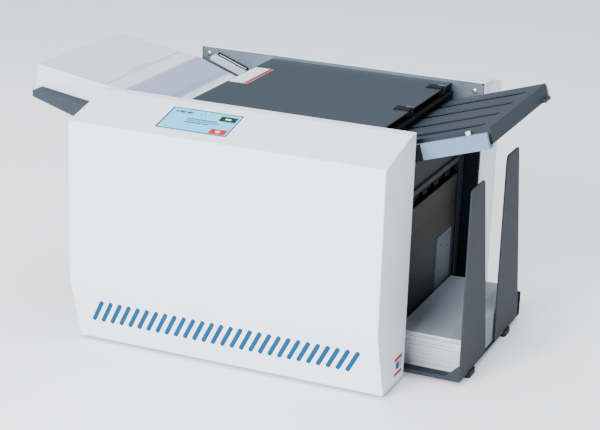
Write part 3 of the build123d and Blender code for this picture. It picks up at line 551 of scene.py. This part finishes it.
def mailerTree(name, material, shape):
    # a pile of folded mailers, each a little out of line and turned
    tree, given = startTree(name, {"Count": "Int", "Pitch": "Float", "Side jitter": "Float",
                                   "End jitter": "Float", "Twist": "Float", "Seed": "Int"})
    points = looseLine(tree, given)
    most = addNode(tree, "ShaderNodeCombineXYZ", links={2: given["Twist"]})
    turn = eitherWay(tree, most.outputs[0], given["Seed"])
    one = addNode(tree, "GeometryNodeObjectInfo", {"Object": shape})
    pile = addNode(tree, "GeometryNodeInstanceOnPoints",
                   links={"Points": points, "Instance": one.outputs["Geometry"],
                          "Rotation": turn})
    endTree(tree, pile.outputs[0], material)
    return tree


foldedMesh = growFrom(mailerTree, "foldedPile", materials["foldedPaper"], foldedForm(), folded)
foldedMesh.transform(Matrix.Translation((foldedLow.x + mailer["endGap"],
                                         (foldedLow.y + foldedHigh.y) / 2, foldedLow.z)))
foldedForms = addPiece("foldedForms", foldedMesh, "tray", "paper")
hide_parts("folded_stack")
print("stage: folded forms made,", len(foldedMesh.polygons), "faces")


def looseParts(mesh):
    # low and high corner of every separate solid in a mesh, sorted by its low corner
    work = bmesh.new()
    work.from_mesh(mesh)
    bmesh.ops.remove_doubles(work, verts=work.verts, dist=0.001 * mm)
    left = set(work.verts)
    found = []
    while left:
        grown, edge = set(), [left.pop()]
        while edge:
            v = edge.pop()
            grown.add(v)
            for e in v.link_edges:
                other = e.other_vert(v)
                if other in left:
                    left.remove(other)
                    edge.append(other)
        found.append((Vector([min(v.co[i] for v in grown) for i in range(3)]),
                      Vector([max(v.co[i] for v in grown) for i in range(3)])))
    work.free()
    return sorted(found, key=lambda part: tuple(part[0]))


# screw heads on both side frames
screws = {
    "sides": 24, "leastHeight": 1.5 * mm, "Seed": 5,
    "dome": [(1.0, 0.0), (1.0, 0.45), (0.93, 0.7), (0.78, 0.88), (0.55, 1.0)],  # radius, height
    "arm": 0.5, "halfArm": 0.1,  # of the cross, as shares of the head's radius
    "recessTaper": 0.75, "recessFoot": 0.35,
}


def screwHead(radius, height, side):
    # pan head with a cross recess, standing out from its seat along +Y or -Y
    work = bmesh.new()
    sides = screws["sides"]
    turns = [2 * math.pi * i / sides for i in range(sides)]
    rings = [[work.verts.new((radius * r * math.cos(a), radius * r * math.sin(a), height * h))
              for a in turns] for r, h in screws["dome"]]
    for lower, upper in zip(rings, rings[1:]):
        for i in range(sides):
            j = (i + 1) % sides
            work.faces.new((lower[i], lower[j], upper[j], upper[i]))
    work.faces.new(rings[0][::-1])
    arm, half = radius * screws["arm"], radius * screws["halfArm"]
    cross = [(arm, -half), (arm, half), (half, half), (half, arm), (-half, arm), (-half, half),
             (-arm, half), (-arm, -half), (-half, -half), (-half, -arm), (half, -arm),
             (half, -half)]
    rim = [work.verts.new((x, y, height)) for x, y in cross]
    taper, foot = screws["recessTaper"], height * screws["recessFoot"]
    floor = [work.verts.new((x * taper, y * taper, foot)) for x, y in cross]
    for i in range(len(cross)):
        j = (i + 1) % len(cross)
        work.faces.new((rim[i], rim[j], floor[j], floor[i]))
    work.faces.new(floor)
    # the flat land between the cross and the dome: two sides of the ring to each corner
    land = rings[-1]
    for i in range(len(cross)):
        j = (i + 1) % len(cross)
        work.faces.new((rim[i], land[(2 * i - 1) % sides], land[2 * i], land[2 * i + 1], rim[j]))
    bmesh.ops.recalc_face_normals(work, faces=work.faces)
    work.transform(Matrix.Rotation(-side * math.pi / 2, 4, "X"))
    return meshFrom(work)


def screwTree(name, material, head):
    # heads on the given points, turned to random angles about their axes
    tree, given = startTree(name, {"Points": "Object", "Seed": "Int"})
    spots = addNode(tree, "GeometryNodeObjectInfo", links={"Object": given["Points"]})
    shape = addNode(tree, "GeometryNodeObjectInfo", {"Object": head})
    turn = addNode(tree, "FunctionNodeRandomValue", {0: (0, 0, 0), 1: (0, math.pi, 0)},
                   {"Seed": given["Seed"]}, data_type="FLOAT_VECTOR")
    spun = addNode(tree, "GeometryNodeInstanceOnPoints",
                   links={"Points": spots.outputs["Geometry"],
                          "Instance": shape.outputs["Geometry"], "Rotation": turn.outputs[0]})
    endTree(tree, spun.outputs[0], material)
    return tree


screwParts = looseParts(nodes["cover_screws"].data)
frameFaces = {"front": (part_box("front_side_frame")[1].y, 1),
              "rear": (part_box("rear_side_frame")[0].y, -1)}
joined = bmesh.new()
for frameName, (seat, side) in frameFaces.items():
    parts = [(low, high) for low, high in screwParts if low.y * side < 0]
    low, high = parts[0]
    outside = high.y if side > 0 else low.y
    head = screwHead((high.x - low.x) / 2, max(screws["leastHeight"], abs(outside - seat)), side)
    spotMesh = bpy.data.meshes.new("spots")
    spotMesh.from_pydata([((lo.x + hi.x) / 2, seat, (lo.z + hi.z) / 2) for lo, hi in parts],
                         [], [])
    spots = bpy.data.objects.new("spots", spotMesh)
    scene.collection.objects.link(spots)
    joined.from_mesh(growFrom(screwTree, frameName + "Screws", materials["nickelPlate"], head,
                              {"Points": spots, "Seed": screws["Seed"]}))
    bpy.data.objects.remove(spots)
screwMesh = bpy.data.meshes.new("screws")
joined.to_mesh(screwMesh)
joined.free()
screwHeads = addPiece("screwHeads", screwMesh, "chassis", "polished_steel", "nickelPlate")
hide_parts("cover_screws")
print("stage: screws made,", len(screwParts))


def flatFace(node, direction, facing=0.5, wideShare=0.3):
    # centre and unit normal of the outermost wide face of a node that looks in a direction
    groups = {}
    for face in nodes[node].data.polygons:
        if face.normal.dot(direction) > facing:
            reach = round(face.normal.dot(face.center), 4)
            key = tuple(round(c, 2) for c in face.normal) + (reach,)
            area, centre = groups.get(key, (0.0, Vector()))
            groups[key] = (area + face.area, centre + face.center * face.area)
    widest = max(area for area, centre in groups.values())
    best = max((k for k in groups if groups[k][0] > wideShare * widest), key=lambda k: k[3])
    area, centre = groups[best]
    return centre / area, Vector(best[:3]).normalized()


def placeOn(centre, normal, right):
    # axes on a face: x to the right, y up the face, z out of it
    x = (right - normal * right.dot(normal)).normalized()
    y = normal.cross(x)
    return Matrix.Translation(centre) @ Matrix((x, y, normal)).transposed().to_4x4()


towardsRight = Vector((1, 0, 0))

# one blue rib in each slanted vent slot of the front cover's chamfer, sizes in mm
vents = {"count": 28, "pitch": 12.92, "long": 38.9, "wide": 5.6, "lean": 61.4, "up": 46.0,
         "sunk": 0.35, "deep": 0.9, "endSteps": 6}


def ventTree(name, material, rib):
    # ribs at an even pitch along a row
    tree, given = startTree(name, {"Count": "Int", "Pitch": "Float"})
    step = addNode(tree, "ShaderNodeCombineXYZ", links={0: given["Pitch"]})
    line = addNode(tree, "GeometryNodeMeshLine",
                   links={"Count": given["Count"], "Offset": step.outputs[0]})
    shape = addNode(tree, "GeometryNodeObjectInfo", {"Object": rib})
    row = addNode(tree, "GeometryNodeInstanceOnPoints",
                  links={"Points": line.outputs[0], "Instance": shape.outputs["Geometry"]})
    endTree(tree, row.outputs[0], material)
    return tree


coverLow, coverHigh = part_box("front_cover")
ventLow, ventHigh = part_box("vent_backing")
chamferCentre, chamferNormal = flatFace("front_cover", Vector((0, -0.5, -0.85)))
chamferPlace = placeOn(chamferCentre, chamferNormal, towardsRight)
chamferUp = chamferPlace.to_3x3() @ Vector((0, 1, 0))
chamferFoot = chamferCentre + chamferUp * ((coverLow.z - chamferCentre.z) / chamferUp.z)
firstRib = chamferFoot + chamferUp * vents["up"] * mm - chamferNormal * vents["sunk"] * mm
firstRib.x = (ventLow.x + ventHigh.x) / 2 - vents["pitch"] * (vents["count"] - 1) / 2 * mm
halfLong, halfWide = vents["long"] / 2, vents["wide"] / 2
ribOutline = [(x * mm, y * mm) for x, y in roundedOutline(
    -halfLong, -halfWide, halfLong, halfWide, halfWide - 0.01, vents["endSteps"])]
ribWork = bmesh.new()
addSlab(ribWork, ribOutline, -vents["deep"] * mm, 0,
        Matrix.Rotation(math.radians(vents["lean"]), 4, "Z"))
ventMesh = growFrom(ventTree, "ventRow", materials["mouldedBlueAbs"], meshFrom(ribWork),
                    {"Count": vents["count"], "Pitch": vents["pitch"] * mm})
ventMesh.transform(placeOn(firstRib, chamferNormal, towardsRight))
addPiece("ventRibs", ventMesh, "chassis", "blue_insert")
print("stage: vent ribs made,", vents["count"])

# touch screen: lit pane, two keys, a row of marks, a round mark, three lines and key symbols
screenCentre, screenNormal = flatFace("touch_screen", Vector((0, -0.3, 1)))
screenLow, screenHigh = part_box("touch_screen")
rimWide = 0.4
right = (screenHigh.x - screenLow.x) / 2 / mm
top = (screenHigh.y - screenLow.y) / 2 / mm / screenNormal.z - rimWide
screen = {
    "pane": (0.0, 0.25), "key": (0.25, 0.45), "print": (0.25, 0.33),  # low and high of a layer
    "disc": (0.25, 0.35), "dot": (0.35, 0.42), "symbol": (0.45, 0.5), "symbolDot": (0.5, 0.55),
    "marks": 8, "markPitch": 3.1, "markWidths": (2.2, 1.6, 2.8), "lineTall": 2.0,
    "lines": ((-18, 22, 3.0, "darkInk"), (-18, 27, -1.5, "blueInk"), (-18, 14, -6.0, "darkInk")),
}
picture = [
    # the pane leaves a thin rim of the dark glass, a little wider at the left and top, where it
    # paints the shade of the bezel's step
    (-right + 0.5, -top + 0.4, right - 0.3, top - 0.5, *screen["pane"], 1.0, "displayGlow"),
    (right - 25, top - 18, right - 3, top - 6, *screen["key"], 1.0, "greenKey"),
    (right - 24, -top + 2, right - 3, -top + 14, *screen["key"], 1.0, "redKey"),
]
for i in range(screen["marks"]):
    x = -right + 6 + screen["markPitch"] * i
    picture.append((x, top - 10.5, x + screen["markWidths"][i % 3], top - 6, *screen["print"],
                    0.3, "darkInk"))
picture += [
    (-6.5, top - 11.2, -0.5, top - 5.2, *screen["disc"], 2.9, "darkInk"),
    (-5.4, top - 10.1, -1.6, top - 6.3, *screen["dot"], 1.8, "whiteInk"),
]
for x0, x1, y, ink in screen["lines"]:
    picture.append((x0, y, x1, y + screen["lineTall"], *screen["print"], 0.8, ink))
picture += [
    (right - 18, top - 13.5, right - 10, top - 10.5, *screen["symbol"], 1.0, "whiteInk"),
    (right - 16.5, -top + 5.5, right - 10.5, -top + 10.5, *screen["symbol"], 2.2, "whiteInk"),
    (right - 15, -top + 7.0, right - 12, -top + 9.0, *screen["symbolDot"], 0.9, "redKey"),
]
platePiece("screenPicture", placeOn(screenCentre, screenNormal, towardsRight), picture,
           "chassis", "screen")

# label at the lid's left edge: film, a stripe, and rows of blank blocks and rules
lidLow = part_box("top_cover")[0]
lidTop = flatFace("top_cover", Vector((0, 0, 1)))[0].z
lidLabel = {
    "film": (1.0, 2, 28, 88, 0.0, 0.12, 1.0, "labelFilm"),
    "stripe": (22.5, 2.6, 27.6, 87.4, 0.12, 0.16, 0.4, "redInk"),
    "block": (5.0, 8, 8.2, 13.5, 0.12, 0.15, 0.4, "whiteInk"),
    "rule": (11.0, 7, 12.2, 14.5, 0.12, 0.15, 0.3, "whiteInk"), "rows": 9, "pitch": 8.6,
}
lidPlates = [lidLabel["film"], lidLabel["stripe"]]
for row in range(lidLabel["rows"]):
    lidPlates += [shifted(lidLabel[mark], 0, lidLabel["pitch"] * row)
                  for mark in ("block", "rule")]
platePiece("lidLabel", Matrix.Translation((lidLow.x, 0, lidTop)), lidPlates, "lid",
           "white_plastic")

# badge on the right end of the front cover: two bars, a block and three rules
endBadge = {
    "y": -144, "z": 27, "rules": 3, "pitch": 3.2,
    "rule": (6, -3.6, 12, -2.2, 0.1, 0.13, 0.3, "darkInk"),
    "plates": [(-15, -14, 15, 14, 0.0, 0.1, 1.5, "labelFilm"),
               (-13, 7, 13, 12, 0.1, 0.14, 0.8, "redInk"),
               (-13, -12, 13, -8, 0.1, 0.14, 0.8, "redInk"),
               (-8, -4, 4, 5, 0.1, 0.14, 0.8, "blueInk")],
}
badgePlace = placeOn(Vector((coverHigh.x, endBadge["y"] * mm, endBadge["z"] * mm)),
                     towardsRight, Vector((0, 1, 0)))
platePiece("endBadge", badgePlace, endBadge["plates"] + [
    shifted(endBadge["rule"], 0, endBadge["pitch"] * i) for i in range(endBadge["rules"])],
    "chassis", "white_plastic")

# rating label on the left end of the rear cover, with blank fields
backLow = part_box("rear_cover")[0]
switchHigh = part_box("switch_body")[1]
ratingLabel = {
    "y": 185, "overSwitch": 42, "rows": 4, "pitch": 4.6, "foot": 3.4, "head": 5.2,
    "film": (-22, -16, 22, 16, 0.0, 0.1, 1.5, "labelFilm"),
    "title": (-20, 8, 20, 14, 0.1, 0.13, 0.5, "darkInk"), "field": (0.1, 0.13, 0.3, "darkInk"),
}
ratingPlates = [ratingLabel["film"], ratingLabel["title"]]
for row in range(ratingLabel["rows"]):
    foot, head = (ratingLabel[end] - ratingLabel["pitch"] * row for end in ("foot", "head"))
    ratingPlates += [(-19, foot, -3 + 3 * (row % 2), head, *ratingLabel["field"]),
                     (5, foot, 19 - 2 * row, head, *ratingLabel["field"])]
ratingPlace = placeOn(
    Vector((backLow.x, ratingLabel["y"] * mm, switchHigh.z + ratingLabel["overSwitch"] * mm)),
    -towardsRight, Vector((0, -1, 0)))
platePiece("ratingLabel", ratingPlace, ratingPlates, "chassis", "white_plastic")

# bent clips over the hinge tabs: a flat leaf on top and a leaf down the end
hingeClip = {"back": 9, "front": 0.7, "inside": 1.2, "outside": 0.1, "thick": 0.5, "drop": 8.0,
             "bend": 0.05}
clips = []
for low, high in looseParts(nodes["hinge_tabs"].data):
    x, y = high.x / mm, high.y / mm
    x1, y0, y1 = x + hingeClip["front"], y - hingeClip["inside"], y + hingeClip["outside"]
    clips += [(x - hingeClip["back"], y0, x1, y1, 0.0, hingeClip["thick"], 0.3, "nickelPlate"),
              (x + hingeClip["bend"], y0, x1, y1, -hingeClip["drop"], 0.0, 0.2, "nickelPlate")]
platePiece("hingeClips", Matrix.Translation((0, 0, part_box("hinge_tabs")[1].z)), clips, "lid",
           "light_metal")

# black strips set in the slots of the upper fold plate, measured back from its tip: painted shade
# inside the slots
slotShadeStrips = {"rows": (-57.0, 0.0, 57.0, 114.0), "far": 165.8, "near": 14.2, "half": 7.3,
              "low": -1.95, "high": -0.3, "corner": 7.2}
plateCentre, plateNormal = flatFace("upper_fold_plate", Vector((-0.3, 0, 0.95)))
platePlace = placeOn(plateCentre, plateNormal, towardsRight)
plateTip = max(nodes["upper_fold_plate"].data.vertices, key=lambda v: v.co.z).co
tip = (plateTip - plateCentre).dot(platePlace.to_3x3() @ towardsRight) / mm
strips = []
for row in slotShadeStrips["rows"]:
    across = row - plateCentre.y / mm
    strips.append((tip - slotShadeStrips["far"], across - slotShadeStrips["half"],
                   tip - slotShadeStrips["near"], across + slotShadeStrips["half"], slotShadeStrips["low"],
                   slotShadeStrips["high"], slotShadeStrips["corner"], "mouldedBlackAbs"))
platePiece("plateSlotFloors", platePlace, strips, "fold_plate", "black_plastic")

# dark sheet on the rear wall of the output bay that paints the shade there, with a seam near the
# post
frameLow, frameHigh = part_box("rear_side_frame")
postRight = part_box("bay_post")[1].x / mm
wallPlace = placeOn(Vector((0, frameLow.y, 0)), Vector((0, -1, 0)), towardsRight)
bayLining = [
    (postRight + 0.5, 9, frameHigh.x / mm - 0.2, 258, 0.0, 0.5, 0.5, "liningFoam"),
    (postRight + 2.5, 12, postRight + 3.5, 255, 0.5, 0.7, 0.2, "mouldedBlackAbs"),
]
platePiece("bayLining", wallPlace, bayLining, "chassis", "dark_panel")

# track on the same wall over the rear guide rail, leaning 19 down in 51 with the table: an
# aluminium strip on a black plate that paints the shade at both its sides
railLow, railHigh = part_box("guide_rails")
guideTrack = {
    "along": 31, "belowTop": 5, "lean": -math.atan2(19, 51),
    "plates": [(-23, -2.6, 27, 2.6, 0.0, 1.2, 2.0, "mouldedBlackAbs"),
               (-20, -0.6, 24, 0.6, 1.2, 1.5, 0.5, "brushedAluminium")],
}
trackPlace = wallPlace @ Matrix.Translation((
    railLow.x + guideTrack["along"] * mm, railHigh.z - guideTrack["belowTop"] * mm, 0))
platePiece("guideTrack", trackPlace @ Matrix.Rotation(guideTrack["lean"], 4, "Z"),
           guideTrack["plates"], "chassis", "black_plastic")

# stiffening strip on the lower bay panel, its groove and six fixing holes drawn as black plates of
# painted shade
lowerLow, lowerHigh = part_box("exit_lower_panel")
panelTall = (lowerHigh.z - lowerLow.z) / mm
bayStrip = {
    "strip": (56, 0.5, 117, panelTall - 1, 0.0, 0.8, 0.8, "midGreyCoat"),
    "groove": (58, 2, 59.2, panelTall - 3, 0.8, 0.95, 0.3, "mouldedBlackAbs"),
    "holeShade": (-1.4, -1.4, 1.4, 1.4, 0.8, 0.86, 1.3, "mouldedBlackAbs"),
    "holes": ((74, 62), (74, 100), (100, 48), (100, 92), (74, 24), (108, 108)),
}
stripPlace = placeOn(Vector((lowerHigh.x, 0, lowerLow.z)), towardsRight, Vector((0, 1, 0)))
platePiece("bayStrip", stripPlace, [bayStrip["strip"], bayStrip["groove"]] + [
    shifted(bayStrip["holeShade"], x, y) for x, y in bayStrip["holes"]], "chassis", "grey_paint")
print("stage: labels, clips and lining made")

# floor, light and camera, sizes in metres
floorHalf = 14.0
floorMesh = bpy.data.meshes.new("floor")
floorMesh.from_pydata([(-floorHalf, -floorHalf, 0), (floorHalf, -floorHalf, 0),
                       (floorHalf, floorHalf, 0), (-floorHalf, floorHalf, 0)], [],
                      [(0, 1, 2, 3)])
floorMesh.materials.append(materials["studioPaper"])
floor = bpy.data.objects.new("floor", floorMesh)
scene.collection.objects.link(floor)

lights = {
    "keyLight": dict(place=(-0.4, -3.1, 1.6), aim=(0, 0, 0.15), size=1.6, watts=275,
                     tint="#FDFDFF"),
    "topLight": dict(place=(0.0, 0.4, 2.6), aim=(0, 0, 0.2), size=2.4, watts=70,
                     tint="#F6F9FF"),
    "fillLight": dict(place=(2.6, -1.4, 1.3), aim=(0.1, 0, 0.15), size=1.6, watts=10,
                      tint="#F4F8FF"),
}
for name, lamp in lights.items():
    light = bpy.data.lights.new(name, "AREA")
    light.shape = "SQUARE"
    light.size = lamp["size"]
    light.energy = lamp["watts"]
    light.color = toLinear(lamp["tint"])[:3]
    lightObject = bpy.data.objects.new(name, light)
    lightObject.location = lamp["place"]
    beam = Vector(lamp["aim"]) - Vector(lamp["place"])
    lightObject.rotation_euler = beam.to_track_quat("-Z", "Y").to_euler()
    scene.collection.objects.link(lightObject)

studio = {"tint": "#EEF3FA", "strength": 0.6}
world = bpy.data.worlds.new("studio")
world.use_nodes = True
sky = world.node_tree.nodes["Background"]
sky.inputs["Color"].default_value = toLinear(studio["tint"])
sky.inputs["Strength"].default_value = studio["strength"]
scene.world = world

view = {"place": (0.87798, -2.03869, 0.89647), "azimuth": -22.67, "elevation": 18.76,
        "roll": 2.01, "lens": 106.04, "sensor": 36.0}
turn, tilt, roll = (math.radians(view[k]) for k in ("azimuth", "elevation", "roll"))
look = Vector((math.sin(turn) * math.cos(tilt), math.cos(turn) * math.cos(tilt),
               -math.sin(tilt)))
level = look.cross(Vector((0, 0, 1))).normalized()
upright = level.cross(look)
rolledRight = level * math.cos(roll) + upright * math.sin(roll)
rolledUp = upright * math.cos(roll) - level * math.sin(roll)
camera = bpy.data.cameras.new("camera")
camera.lens = view["lens"]
camera.sensor_width = view["sensor"]
cameraObject = bpy.data.objects.new("camera", camera)
cameraObject.matrix_world = (Matrix.Translation(view["place"])
                             @ Matrix((rolledRight, rolledUp, -look)).transposed().to_4x4())
scene.collection.objects.link(cameraObject)
scene.camera = cameraObject
print("stage: floor, light and camera made")
